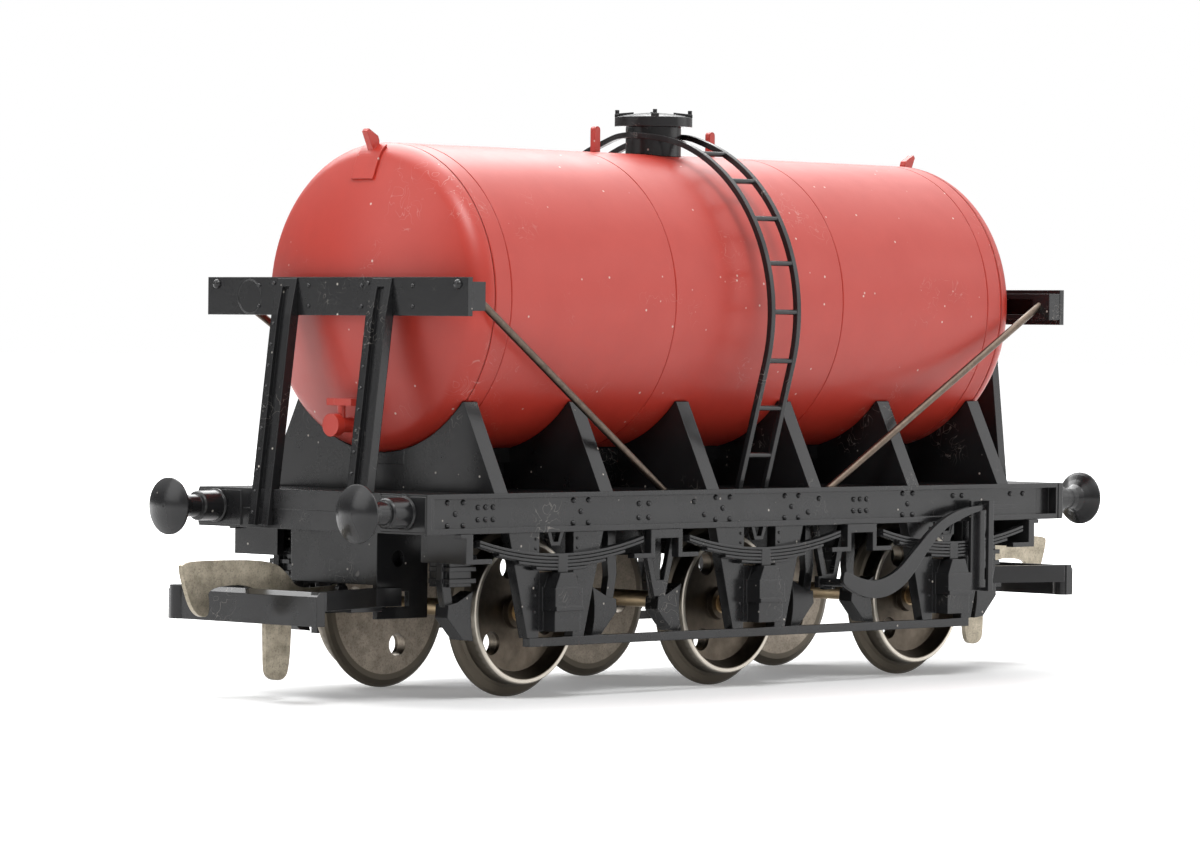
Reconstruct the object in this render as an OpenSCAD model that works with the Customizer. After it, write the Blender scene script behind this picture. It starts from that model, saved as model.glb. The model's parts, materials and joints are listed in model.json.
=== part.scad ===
// Six-wheel tank wagon: a small scale model on 16.5 mm gauge wheels.
// X runs along the wagon, front at +X. Y runs across it, left at +Y. Z is up,
// with zero at the lowest point of the wheel flanges. Sizes are in millimetres.

/* [Wheels and axles] */
// Distance between neighbouring axles
axle_pitch = 26; // [22:0.5:34]
// Diameter over the flanges
flange_d = 14.7; // [12:0.1:18]
// Diameter of the tread where it meets the flange
tread_d = 12.6; // [10.5:0.1:12.8]
// Distance between the backs of the two wheels of an axle
back_to_back = 14.5; // [13:0.1:15]
// Width of a wheel over its rim
wheel_w = 2.6; // [2.2:0.1:2.9]
// Diameter of the axle between its journals
axle_d = 1.5; // [1.2:0.1:2]
// Diameter of the axle's journals
journal_d = 1; // [0.8:0.1:1.2]
// Radial clearance of a journal in its bearing
journal_clearance = 0.05; // [0.03:0.01:0.1]

/* [Frame] */
// Length over the headstocks
frame_len = 84.3; // [80:0.1:104]
// Width over the sole bars
frame_w = 27.84; // [27.4:0.1:34]
// Height of the sole bars
sole_bar_h = 3.37; // [3:0.01:4.5]
// Space between the wheel flanges and the underside of the deck
flange_headroom = 1.9; // [1.2:0.1:4]
// Thickness of the deck
deck_t = 1.1; // [0.8:0.1:1.5]
// Thickness of a headstock
headstock_t = 0.6; // [0.5:0.05:1]

/* [Tank] */
// Outside diameter of the tank
tank_d = 26.5; // [22:0.1:31]
// Length of the barrel between its end joints
barrel_len = 67; // [56:0.2:81]
// Depth of a dished end from its joint to its crown
end_depth = 4.6; // [4:0.1:6]
// Crown radius of the dished ends
crown_r = 30; // [27:1:60]
// Height of the tank's underside above the deck
cradle_h = 3.22; // [2.4:0.01:5]
// Distance between neighbouring saddles
saddle_pitch = 13.6; // [11:0.1:16]
// Thickness of a saddle
saddle_t = 1.6; // [1:0.1:2.2]

/* [Fittings] */
// Diameter of the manhole lid
lid_d = 7; // [6:0.1:9]
// Diameter of the manhole neck
neck_d = 5; // [4:0.1:5.6]
// Height of the neck above the tank
neck_h = 2.48; // [2.3:0.01:4]
// Distance between the centre lines of the ladder's rails
ladder_w = 3.4; // [3:0.1:5]
// Distance along a rail between neighbouring rungs
rung_pitch = 4.35; // [3:0.05:6]
// Diameter of the stay rods
stay_rod_d = 0.66; // [0.5:0.02:1]

/* [Buffers and couplings] */
// Distance between the centre lines of the two buffers of an end
buffer_spacing = 23.1; // [20:0.1:24]
// Length of a buffer from the headstock to its face
buffer_len = 6.24; // [5:0.1:8]
// Diameter of a buffer head
buffer_head_d = 4.9; // [4:0.1:6]
// Distance of the coupling bar's front from the headstock
coupling_reach = 7.85; // [7:0.05:10]
// Width over the coupling bar
coupling_w = 18.2; // [16:0.2:22]
// Diameter of the pin that the coupling hook swings on
hook_pin_d = 0.7; // [0.5:0.05:0.9]

/* [Hidden] */
$fn = 64;

// Colours
RED = "#B5443F";
BLACK = "#3C3C3C";
STEEL = "#8A8278";
NICKEL = "#8C8778";

// Heights that follow from the wheels
flange_r = flange_d / 2;
tread_r = tread_d / 2;
axle_z = flange_r;
deck_under = flange_d + flange_headroom;
frame_top = deck_under + deck_t;
frame_under = frame_top - sole_bar_h;

// Frame
frame_half = frame_len / 2;
bar_half = frame_half - headstock_t;
side_y = frame_w / 2;
sole_bar_depth = 1.3;
deck_half_w = side_y - sole_bar_depth;
channel_depth = 0.47;
channel_lip = 0.42;
spine_half_w = 6;

// Axleguards, axleboxes and springs
guard_front = side_y - 0.52;
guard_t = 1;
guard_back = guard_front - guard_t;
guard_slot = 4.2;
guard_top_half = 5.8;
guard_foot_half = 3.45;
tie_bar_h = 0.75;
guard_foot_z = axle_z - 2;
box_under = axle_z - 1.45;
box_top = axle_z + 3.55;
box_front = guard_front + 1.7;
box_w = 3.3;
spring_front = guard_front + 0.8;
leaf_pitch = 0.3;
leaf_t = 0.22;
leaf_bend_r = 40;
bracket_half = 2;
spring_half = axle_pitch / 2 - bracket_half - 0.95;
buckle_w = 1.15;
buckle_h = 1.47;
leaf_rise = spring_half * spring_half / (2 * leaf_bend_r);

// Tank
tank_r = tank_d / 2;
tank_z = frame_top + cradle_h + tank_r;
tank_top = tank_z + tank_r;
barrel_half = barrel_len / 2;
crown_x = barrel_half + end_depth;
// Straight skirt of a dished end, and the knuckle that joins it to the crown
end_skirt = 0.1;
dish_h = end_depth - end_skirt;
knuckle_r = (2 * crown_r * dish_h - dish_h * dish_h - tank_r * tank_r) / (2 * (crown_r - tank_r));
seat_gap = 0.05;
seam_w = 0.12;
seam_depth = 0.05;
saddle_tip_z = frame_top + cradle_h + 4.43;
saddle_tip_w = 0.25;
end_saddle_shift = 0.7;
beam_half_w = 3;
beam_band = 1.25;

// Ends
end_beam_h = 3.25;
end_beam_half_w = tank_r + 2.65;
end_beam_face = crown_x + 1.43;
end_beam_depth = 2.13;
end_beam_wall = 0.58;
end_block_y = end_beam_half_w - 2;
post_y = 5.8;
post_w = 2.4;
post_t = 0.95;

// Ladder: a straight leg that runs into an arc over the tank
rail_t = 0.5;
ladder_arc_z = tank_z - 1.07;
ladder_arc_r = tank_r + 2.75;
ladder_foot_y = side_y - 1.62;
foot_drop = ladder_arc_z - frame_top;
foot_dist = norm([ladder_foot_y, foot_drop]);
// Angle of the tangent point, from the level line outwards
tangent_a = acos(ladder_arc_r / foot_dist) - atan2(foot_drop, ladder_foot_y);
leg_len = sqrt(foot_dist * foot_dist - ladder_arc_r * ladder_arc_r);
ladder_split_y = 7.6;
split_a = acos(ladder_split_y / ladder_arc_r);
rung_d = 0.46;
first_rung = 3.05;
bow_reach = 5.2;
neck_r = neck_d / 2;
rail_bow = max(0, neck_r + 0.5 - ladder_w / 2);

// Couplings
mount_face = frame_half - 2.75;
mount_len = 5.9;
mount_half_w = 5.27;
mount_under = axle_z + 2.45;
bar_front = frame_half + coupling_reach;
bar_t = 0.95;
bar_top = axle_z + 2.25;
bar_h = 2.85;
arm_h = 1.6;
arm_t = 0.8;
hook_pin_x = mount_face - 0.35;
hook_pin_z = axle_z + 1.75;
hook_t = 0.45;
hook_play = 0.05;
wheel_face = back_to_back / 2 + wheel_w;

function side_turn(left) = left ? 180 : 0;

// A part drawn at the right side (-Y) or at the rear end (-X), turned half round
// to serve the other side or end as well.
module turned(half_turn) {
    rotate([0, 0, side_turn(half_turn)]) children();
}

// A flat outline drawn in X and Z, made t thick from y = front towards +Y
module upright(front, t) {
    translate([0, front + t, 0]) rotate([90, 0, 0]) linear_extrude(height = t) children();
}

// A round bar from a to b
module rod(a, b, d) {
    v = b - a;
    translate(a)
        rotate([0, acos(v[2] / norm(v)), atan2(v[1], v[0])])
            cylinder(h = norm(v), d = d);
}

// An outline with its corners cut twice over, which rounds them
function softened(p, times) = times == 0 ? p : softened([
    for (i = [0 : len(p) - 1], t = [0.25, 0.75])
        p[i] * (1 - t) + p[(i + 1) % len(p)] * t
], times - 1);

// ---------------------------------------------------------------- tank

module tank_barrel() {
    color(RED) rotate([0, 90, 0]) difference() {
        translate([0, 0, -barrel_half]) translate([-tank_z, 0, 0])
            cylinder(h = barrel_len, r = tank_r);
        for (x = [-barrel_half + 1.9, -11.1, 11.1, barrel_half - 1.9])
            translate([-tank_z, 0, x - seam_w / 2]) difference() {
                cylinder(h = seam_w, r = tank_r + 1);
                translate([0, 0, -1]) cylinder(h = seam_w + 2, r = tank_r - seam_depth);
            }
    }
}

// Distance of the crown sphere's centre from the wagon's middle
crown_c = crown_x - crown_r;

// The end's solid, or one that stands out from it all round by grow
module dished_end(grow = 0) {
    knuckle_y = tank_r - knuckle_r;
    knuckle_x = crown_c + sqrt(pow(crown_r - knuckle_r, 2) - knuckle_y * knuckle_y);
    crown_a = atan2(knuckle_y, knuckle_x - crown_c);
    profile = concat(
        [[0, barrel_half], [tank_r + grow, barrel_half]],
        [for (a = [0 : 7.5 : 90 - crown_a])
            [knuckle_y + (knuckle_r + grow) * cos(a), knuckle_x + (knuckle_r + grow) * sin(a)]],
        [for (i = [24 : -1 : 0])
            [(crown_r + grow) * sin(crown_a * i / 24),
             crown_c + (crown_r + grow) * cos(crown_a * i / 24)]]
    );
    translate([0, 0, tank_z]) rotate([0, -90, 0]) rotate_extrude() polygon(profile);
}

module tank_end(front) {
    color(RED) turned(front) dished_end();
}

module lug_plate(x, w, low, high, t) {
    upright(-t / 2, t) union() {
        translate([x - w / 2, low]) square([w, high - low - w / 2]);
        translate([x, high - w / 2]) circle(d = w);
    }
}

module lifting_lugs() {
    end_lug_x = barrel_half + 1.95;
    lug_pad_t = 0.2;
    lug_pad_w = 2.7;
    lug_pad_drop = 3.2;
    color(RED) for (half_turn = [false, true]) turned(half_turn) {
        difference() {
            translate([-7.6, 0, 0]) lug_plate(0, 0.7, tank_top - 1, tank_top + 2.3, 0.55);
            translate([-barrel_half, 0, tank_z]) rotate([0, 90, 0])
                cylinder(h = barrel_len, r = tank_r + 0.02);
        }
        // A fin over the end's rim, on a thin plate that lies on the dish
        difference() {
            union() {
                upright(-0.33, 0.66) polygon([
                    [-end_lug_x, tank_top - 0.8], [-end_lug_x - 0.75, tank_top + 0.85],
                    [-end_lug_x - 0.55, tank_top + 1.1], [-end_lug_x + 0.55, tank_top + 0.5],
                    [-end_lug_x + 0.7, tank_top + 0.1], [-end_lug_x + 0.7, tank_top - 0.8]
                ]);
                intersection() {
                    dished_end(lug_pad_t);
                    translate([-crown_x - 1, -lug_pad_w / 2, tank_top - lug_pad_drop])
                        cube([crown_x + 1.6 - end_lug_x, lug_pad_w, lug_pad_drop + 1]);
                }
            }
            dished_end(0.02);
        }
    }
}

// ---------------------------------------------------------------- manhole

lid_z = tank_top + neck_h;
lid_r = lid_d / 2;
lid_rim = 0.85;
lid_crown = 0.45;
crown_sphere_r = (lid_r * lid_r + lid_crown * lid_crown) / (2 * lid_crown);

module manhole_neck() {
    color(BLACK) difference() {
        translate([0, 0, tank_top - 1]) cylinder(h = neck_h + 1, d = neck_d);
        translate([-lid_d, 0, tank_z]) rotate([0, 90, 0])
            cylinder(h = 2 * lid_d, r = tank_r + 0.02);
    }
}

module manhole_lid() {
    color(BLACK) translate([0, 0, lid_z]) {
        cylinder(h = lid_rim, r = lid_r);
        intersection() {
            translate([0, 0, lid_rim + lid_crown - crown_sphere_r])
                sphere(r = crown_sphere_r, $fn = 96);
            translate([0, 0, lid_rim - 0.1]) cylinder(h = 1, r = lid_r - 0.05);
        }
    }
}

// Height of the lid's domed top above its rim, at a radius
function dome_at(r) = lid_crown - crown_sphere_r + sqrt(crown_sphere_r * crown_sphere_r - r * r);

module lid_clamps() {
    rise = 0.01;
    post_r = lid_r - 0.22;
    color(BLACK) for (a = [45 : 90 : 315]) rotate([0, 0, a])
        translate([0, 0, lid_z + lid_rim]) {
            upright(-0.35, 0.7) polygon([
                [lid_r, rise], [lid_r - 0.4, dome_at(lid_r - 0.4) + rise],
                [lid_r - 0.4, 0.3], [lid_r, 0.3]
            ]);
            translate([post_r, 0, 0.2]) cylinder(h = 0.46, d = 0.38);
            upright(-0.1, 0.2) polygon(concat(
                [for (r = [lid_r - 0.3 : -0.35 : lid_r - 1.7]) [r, dome_at(r) + rise]],
                [[lid_r - 1.7, dome_at(lid_r - 1.7) + 0.16], [lid_r - 0.3, 0.36]]
            ));
        }
}

// ---------------------------------------------------------------- ladder

// Point (y, z) at a distance along a rail's centre line from its foot
function leg_dir() = [ladder_arc_r * cos(tangent_a) - ladder_foot_y,
                      foot_drop + ladder_arc_r * sin(tangent_a)] / leg_len;
function on_rail(s) = s < leg_len
    ? [ladder_foot_y, frame_top] + leg_dir() * s
    : [ladder_arc_r * cos(tangent_a + (s - leg_len) / ladder_arc_r * 180 / PI),
       ladder_arc_z + ladder_arc_r * sin(tangent_a + (s - leg_len) / ladder_arc_r * 180 / PI)];

rail_len = leg_len + (split_a - tangent_a) * PI / 180 * ladder_arc_r;

module ladder_side(left) {
    leg_a = atan2(leg_dir()[1], leg_dir()[0]);
    color(BLACK) turned(!left) {
        for (x = [-ladder_w / 2, ladder_w / 2]) {
            intersection() {
                translate([x - rail_t / 2, 0, ladder_arc_z]) rotate([90, 0, 90])
                    rotate([0, 0, tangent_a])
                        rotate_extrude(angle = split_a - tangent_a + 3, $fn = 128)
                            translate([ladder_arc_r - rail_t / 2, 0]) square(rail_t);
                translate([-ladder_w, ladder_split_y, frame_top])
                    cube([2 * ladder_w, tank_d, 2 * tank_d]);
            }
            intersection() {
                translate([x - rail_t / 2, ladder_foot_y, frame_top]) rotate([leg_a, 0, 0])
                    translate([0, -1, -rail_t / 2]) cube([rail_t, leg_len + 1, rail_t]);
                translate([-ladder_w, 0, frame_top]) cube([2 * ladder_w, 2 * tank_d, tank_d]);
            }
        }
        for (s = [first_rung : rung_pitch : rail_len - 0.5])
            translate([-ladder_w / 2, on_rail(s)[0], on_rail(s)[1]]) rotate([0, 90, 0])
                cylinder(h = ladder_w, d = rung_d, $fn = 24);
    }
}

// Sideways place of a rail over the tank, where it bows out round the neck
function bowed(y) = ladder_w / 2
    + (abs(y) < bow_reach ? rail_bow * (1 + cos(180 * y / bow_reach)) / 2 : 0);

module ladder_top() {
    steps = [for (i = [-16 : 16]) ladder_split_y * i / 16];
    last = first_rung + rung_pitch * (floor((rail_len - 0.5 - first_rung) / rung_pitch) + 1);
    rung = on_rail(last);
    color(BLACK) for (half_turn = [false, true]) turned(half_turn) {
        intersection() {
            translate([0, 0, tank_z]) linear_extrude(height = tank_d) polygon(concat(
                [for (y = steps) [bowed(y) - rail_t / 2, y]],
                [for (i = [len(steps) - 1 : -1 : 0]) [bowed(steps[i]) + rail_t / 2, steps[i]]]
            ));
            translate([0, 0, ladder_arc_z]) rotate([0, 90, 0]) difference() {
                cylinder(h = ladder_w + 4, r = ladder_arc_r + rail_t / 2, $fn = 128);
                translate([0, 0, -1])
                    cylinder(h = ladder_w + 6, r = ladder_arc_r - rail_t / 2, $fn = 128);
            }
        }
        translate([-bowed(rung[0]), rung[0], rung[1]]) rotate([0, 90, 0])
            cylinder(h = 2 * bowed(rung[0]), d = rung_d, $fn = 24);
    }
}

// ---------------------------------------------------------------- drain valve

module drain_valve(front) {
    valve_z = tank_z - tank_r * 0.826;
    valve_x = end_beam_face - 0.9;
    color(RED) turned(front) difference() {
        union() {
            translate([-valve_x, 0, valve_z]) rotate([0, 90, 0]) cylinder(h = 4, d = 1.3);
            translate([-valve_x - 1.3, 0, valve_z]) rotate([0, 90, 0]) cylinder(h = 0.8, d = 1.96);
            translate([-valve_x - 0.9, 0, valve_z]) rotate([0, 90, 0]) cylinder(h = 1, d = 1.3);
            translate([-valve_x, 0, valve_z]) cylinder(h = 2, d = 0.7);
            translate([-valve_x - 0.35, -1.5, valve_z + 1.65]) cube([0.7, 3, 0.62]);
        }
        translate([-crown_c, 0, tank_z]) sphere(r = crown_r + 0.02, $fn = 128);
    }
}

// ---------------------------------------------------------------- cradle

// The outermost saddles stand a little nearer to their neighbours
function saddle_x(i) = saddle_pitch * (i - 3.5)
    - (i == 6 ? end_saddle_shift : 0) + (i == 1 ? end_saddle_shift : 0);

module saddle(i) {
    x = saddle_x(i);
    tip_y = sqrt(pow(tank_r, 2) - pow(tank_z - saddle_tip_z, 2)) + saddle_tip_w;
    color(BLACK) difference() {
        translate([x + saddle_t / 2, 0, 0]) rotate([90, 0, -90])
            linear_extrude(height = saddle_t) polygon([
                [-side_y, frame_top], [side_y, frame_top],
                [tip_y, saddle_tip_z], [-tip_y, saddle_tip_z]
            ]);
        translate([x - saddle_t, 0, tank_z]) rotate([0, 90, 0])
            cylinder(h = 2 * saddle_t, r = tank_r + seat_gap);
        translate([x - saddle_t, -beam_half_w, beam_under])
            cube([2 * saddle_t, 2 * beam_half_w, 6]);
    }
}

beam_under = frame_top + cradle_h - 1.02;
beam_half_len = saddle_x(6) + saddle_t / 2;

module cradle_beam() {
    color(BLACK) difference() {
        union() {
            translate([-beam_half_len, -beam_half_w, beam_under])
                cube([2 * beam_half_len, 2 * beam_half_w, 3]);
            for (i = [1 : 5])
                translate([saddle_x(i) + saddle_t / 2, -beam_half_w + 0.6, frame_top])
                    cube([saddle_x(i + 1) - saddle_x(i) - saddle_t, 2 * beam_half_w - 1.2,
                          beam_under - frame_top]);
        }
        translate([-frame_half, 0, tank_z]) rotate([0, 90, 0])
            cylinder(h = frame_len, r = tank_r + seat_gap);
    }
}

// ---------------------------------------------------------------- frame

module deck() {
    color(BLACK) translate([-bar_half, -deck_half_w, deck_under])
        cube([2 * bar_half, 2 * deck_half_w, deck_t]);
}

// A plain block under the deck, deeper and ribbed between the coupling mounts
module underframe() {
    rib_t = 0.8;
    rib_h = 0.9;
    low = axle_z + 4.4;
    half = mount_face - mount_len - 0.4;
    color(BLACK) {
        translate([-bar_half, -spine_half_w, frame_under])
            cube([2 * bar_half, 2 * spine_half_w, deck_under - frame_under]);
        translate([-half, -spine_half_w, low + rib_h])
            cube([2 * half, 2 * spine_half_w, frame_under - low - rib_h + 0.1]);
        for (y = [-spine_half_w, -rib_t / 2, spine_half_w - rib_t])
            translate([-half, y, low]) cube([2 * half, rib_t, rib_h + 0.1]);
        for (x = [-1.25 : 0.5 : 1.25])
            translate([x * axle_pitch - rib_t / 2, -spine_half_w, low])
                cube([rib_t, 2 * spine_half_w, rib_h + 0.1]);
    }
}

module sole_bar(left) {
    color(BLACK) turned(left) difference() {
        translate([-bar_half, -side_y, frame_under])
            cube([2 * bar_half, sole_bar_depth, sole_bar_h]);
        translate([-bar_half + 0.3, -side_y - 1, frame_under + channel_lip + 0.08])
            cube([2 * bar_half - 0.6, 1 + channel_depth, sole_bar_h - 2 * channel_lip - 0.08]);
        // Pocket near one end of the channel
        translate([bar_half - 2.7, -side_y - 1, frame_under + channel_lip + 0.08])
            cube([2.4, 1 + channel_depth + 0.45, sole_bar_h - 2 * channel_lip - 0.08]);
    }
}

module headstock(front) {
    pad_w = side_y - 8.55;
    color(BLACK) turned(front) {
        translate([-frame_half, -side_y - 0.06, frame_under])
            cube([headstock_t, frame_w + 0.12, sole_bar_h]);
        for (y = [-side_y, side_y - pad_w])
            translate([-frame_half - 0.14, y, frame_under + 0.2])
                cube([0.2, pad_w, sole_bar_h - 0.4]);
        // The upper half of the face stands a little proud
        translate([-frame_half - 0.07, pad_w - side_y, frame_under + sole_bar_h / 2])
            cube([0.1, 2 * (side_y - pad_w), sole_bar_h / 2]);
    }
}

module buffer() {
    head_r = buffer_head_d / 2;
    dome = 0.62;
    dome_r = (head_r * head_r + dome * dome) / (2 * dome);
    dome_a = asin(head_r / dome_r);
    rotate([0, -90, 0]) rotate_extrude() polygon(concat(
        [[0, 0], [1.45, 0], [1.45, 0.25], [1.32, 0.32], [1.28, 2.3], [1.16, 2.44],
         [0.98, 2.5], [0.96, buffer_len - 2.6], [1.05, buffer_len - 2.1],
         [1.3, buffer_len - 1.65], [1.75, buffer_len - 1.3], [head_r - 0.25, buffer_len - 1],
         [head_r, buffer_len - 0.8]],
        [for (i = [8 : -1 : 0])
            [dome_r * sin(dome_a * i / 8), buffer_len - dome_r * (1 - cos(dome_a * i / 8))]]
    ));
}

module buffers(front) {
    color(BLACK) turned(front) for (y = [-buffer_spacing / 2, buffer_spacing / 2])
        translate([-frame_half - 0.14, y, frame_under + 1.8]) buffer();
}

// ---------------------------------------------------------------- ends

module end_posts(front) {
    beam_low = tank_z - end_beam_h / 2;
    beam_high = tank_z + end_beam_h / 2;
    foot_z = frame_under + 0.27;
    foot_x = frame_half + 0.68;
    knee_x = end_beam_face + 0.82;
    lean = (foot_x - knee_x) / (beam_low - foot_z);
    top_x = foot_x - lean * (frame_top - foot_z);
    flange_t = 0.78;
    recess = 0.4;
    color(BLACK) turned(front) for (y = [-post_y, post_y]) difference() {
        upright(y - post_w / 2, post_w) polygon([
            [-foot_x, foot_z], [-knee_x, beam_low], [-end_beam_face - 0.1, beam_high - 0.1],
            [-end_beam_face, beam_high - 0.1], [-end_beam_face, beam_low],
            [-knee_x + post_t, beam_low], [-top_x + post_t, frame_top],
            [-frame_half - 0.07, frame_top], [-frame_half - 0.07, foot_z]
        ]);
        upright(y - post_w / 2 + flange_t, post_w - 2 * flange_t) polygon([
            [-foot_x - 1, foot_z - 1], [-knee_x - 1, beam_low], [-end_beam_face - 1, beam_high],
            [-end_beam_face - 0.02, beam_high - 1], [-knee_x + recess, beam_low],
            [-foot_x + recess, foot_z], [-foot_x + recess, foot_z - 1]
        ]);
    }
}

module end_beam(front) {
    low = tank_z - end_beam_h / 2;
    back_low = low + 0.45;
    back_h = end_beam_h - 0.82;
    lip = 0.5;
    color(BLACK) turned(front) difference() {
        union() {
            translate([-end_beam_face, -end_beam_half_w, low])
                cube([end_beam_wall, 2 * end_beam_half_w, end_beam_h]);
            difference() {
                translate([-end_beam_face + 0.1, -end_beam_half_w + 0.03, back_low])
                    cube([end_beam_depth - 0.1, 2 * end_beam_half_w - 0.06, back_h]);
                translate([-end_beam_face + end_beam_wall, -end_block_y, back_low + lip])
                    cube([end_beam_depth, 2 * end_block_y, back_h - 2 * lip]);
            }
        }
        translate([-crown_c, 0, tank_z]) sphere(r = crown_r + seat_gap, $fn = 128);
    }
}

// Each rod runs from the deck to the inner face of an end beam
module stay_rods() {
    low = [saddle_x(4) + 4.4, ladder_foot_y - 0.35, frame_top];
    high = [end_beam_face - end_beam_depth, end_block_y + 0.7, tank_z + 0.08];
    run = high - low;
    color(NICKEL) for (half_turn = [false, true]) turned(half_turn) for (s = [-1, 1]) {
        intersection() {
            mirror([0, s < 0 ? 1 : 0, 0]) rod(low - 0.1 * run, high + 0.1 * run, stay_rod_d);
            translate([0, -frame_w, frame_top])
                cube([end_beam_face - end_beam_depth, 2 * frame_w, tank_d]);
        }
    }
}

// ---------------------------------------------------------------- running gear

// Two legs to each axle, with a stop for the spring's buckle between their tops
module axleguards(left) {
    leg_in = guard_slot / 2;
    color(BLACK) turned(left) for (x = [-axle_pitch, 0, axle_pitch]) translate([x, 0, 0]) {
        for (s = [-1, 1]) upright(-guard_front, guard_t) polygon([
            [s * leg_in, guard_foot_z], [s * guard_foot_half, guard_foot_z],
            [s * guard_top_half, frame_under], [s * leg_in, frame_under]
        ]);
        upright(-guard_front + 0.1, 0.5) polygon([
            [-1, frame_under], [-0.55, frame_under - 1.2], [0.55, frame_under - 1.2],
            [1, frame_under], [0.55, frame_under], [0.3, frame_under - 0.85],
            [-0.3, frame_under - 0.85], [-0.55, frame_under]
        ]);
    }
}

module axleboxes(left) {
    bore_depth = 1.85;
    ridge_z = axle_z + 0.3;
    cap_z = axle_z + 2.3;
    color(BLACK) turned(left) for (x = [-axle_pitch, 0, axle_pitch]) translate([x, 0, 0])
        difference() {
            union() {
                translate([-guard_slot / 2, -guard_front, box_under])
                    cube([guard_slot, guard_t, box_top - box_under]);
                translate([-box_w / 2 + 0.1, -box_front + 0.3, box_under])
                    cube([box_w - 0.2, box_front - guard_front - 0.3, ridge_z - box_under]);
                translate([-box_w / 2, -box_front, ridge_z])
                    cube([box_w, box_front - guard_front, 0.4]);
                translate([-box_w / 2, -box_front + 0.15, ridge_z + 0.4])
                    cube([box_w, box_front - guard_front - 0.15, cap_z - ridge_z - 0.4]);
                upright(-box_front + 0.3, box_front - guard_front - 0.3) polygon([
                    [-box_w / 2 + 0.2, cap_z], [box_w / 2 - 0.2, cap_z],
                    [box_w / 2 - 0.75, box_top], [-box_w / 2 + 0.75, box_top]
                ]);
            }
            translate([0, -guard_back - bore_depth + 0.001, axle_z]) rotate([-90, 0, 0])
                cylinder(h = bore_depth + 1, r = journal_d / 2 + journal_clearance);
        }
}

module leaf_spring() {
    halves = [1, 1, 0.77, 0.53, 0.32];
    arc_z = box_top + buckle_h - 0.16 + leaf_bend_r;
    translate([-buckle_w / 2, -spring_front, box_top])
        cube([buckle_w, spring_front - guard_front, buckle_h]);
    for (k = [0 : 4]) {
        intersection() {
            translate([0, -guard_front, arc_z]) rotate([90, 0, 0]) difference() {
                cylinder(h = 0.45, r = leaf_bend_r + k * leaf_pitch, $fn = 256);
                translate([0, 0, -1])
                    cylinder(h = 3, r = leaf_bend_r + (k - 1) * leaf_pitch, $fn = 256);
            }
            translate([-spring_half * halves[k], -spring_front, box_top - 1])
                cube([2 * spring_half * halves[k], 2, 8]);
        }
        intersection() {
            translate([0, -guard_front, arc_z]) rotate([90, 0, 0]) difference() {
                cylinder(h = spring_front - guard_front - 0.02,
                         r = leaf_bend_r + k * leaf_pitch - leaf_pitch + leaf_t, $fn = 256);
                translate([0, 0, -1])
                    cylinder(h = 3, r = leaf_bend_r + (k - 1) * leaf_pitch, $fn = 256);
            }
            translate([-spring_half * halves[k], -spring_front, box_top - 1])
                cube([2 * spring_half * halves[k], 2, 8]);
        }
    }
}

module leaf_springs(left) {
    color(BLACK) turned(left) for (x = [-axle_pitch, 0, axle_pitch])
        translate([x, 0, 0]) leaf_spring();
}

module spring_shoes(left) {
    low = box_top + 0.9;
    spring_end = axle_pitch + spring_half;
    // The end shoe's upright plate stands beyond the outermost brake hanger
    plate_x = max(spring_end + 0.85, axle_pitch + brake_tip + 0.45);
    plate_t = 0.8;
    color(BLACK) turned(left) {
        for (s = [-1, 1]) {
            upright(-spring_front, spring_front - guard_front) polygon([
                [s * (plate_x + plate_t), low], [s * (spring_end - 1.45), low],
                [s * (spring_end - 1.45), low + 0.42], [s * plate_x, low + 0.42],
                [s * plate_x, frame_under], [s * (plate_x + 1.45), frame_under],
                [s * (plate_x + 1.45), frame_under - 0.35],
                [s * (plate_x + plate_t), frame_under - 0.35]
            ]);
            // The plate carries on inwards under the frame
            upright(-guard_front, 4.6) polygon([
                [s * plate_x, low], [s * (plate_x + plate_t), low],
                [s * (plate_x + plate_t), frame_under], [s * plate_x, frame_under]
            ]);
            translate([s * axle_pitch / 2, 0, 0]) upright(-spring_front, spring_front - guard_front)
                polygon([
                    [-bracket_half - 2.1, low + 0.1], [-bracket_half + 0.5, low + 0.1],
                    [-bracket_half + 0.5, frame_under - 0.75],
                    [bracket_half - 0.5, frame_under - 0.75],
                    [bracket_half - 0.5, low + 0.1], [bracket_half + 2.1, low + 0.1],
                    [bracket_half + 2.1, low + 0.5], [bracket_half, low + 0.5],
                    [bracket_half, frame_under], [-bracket_half, frame_under],
                    [-bracket_half, low + 0.5], [-bracket_half - 2.1, low + 0.5]
                ]);
        }
    }
}

module tie_bar(left) {
    reach = axle_pitch + 3.2;
    color(BLACK) turned(left)
        translate([-reach, -guard_front, guard_foot_z - tie_bar_h])
            cube([2 * reach, guard_t - 0.2, tie_bar_h]);
}

// ---------------------------------------------------------------- brakes

block_gap = 0.25;
block_front = wheel_face + 0.9;
block_w = 1.5;
// Distance of a brake block's far tip from its axle
brake_tip = flange_r + 3.05;
lever_pin_x = axle_pitch / 2 - 2.8;
lever_pin_z = axle_z + 1.75;
hanger_front = -guard_back + 0.55;

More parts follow.
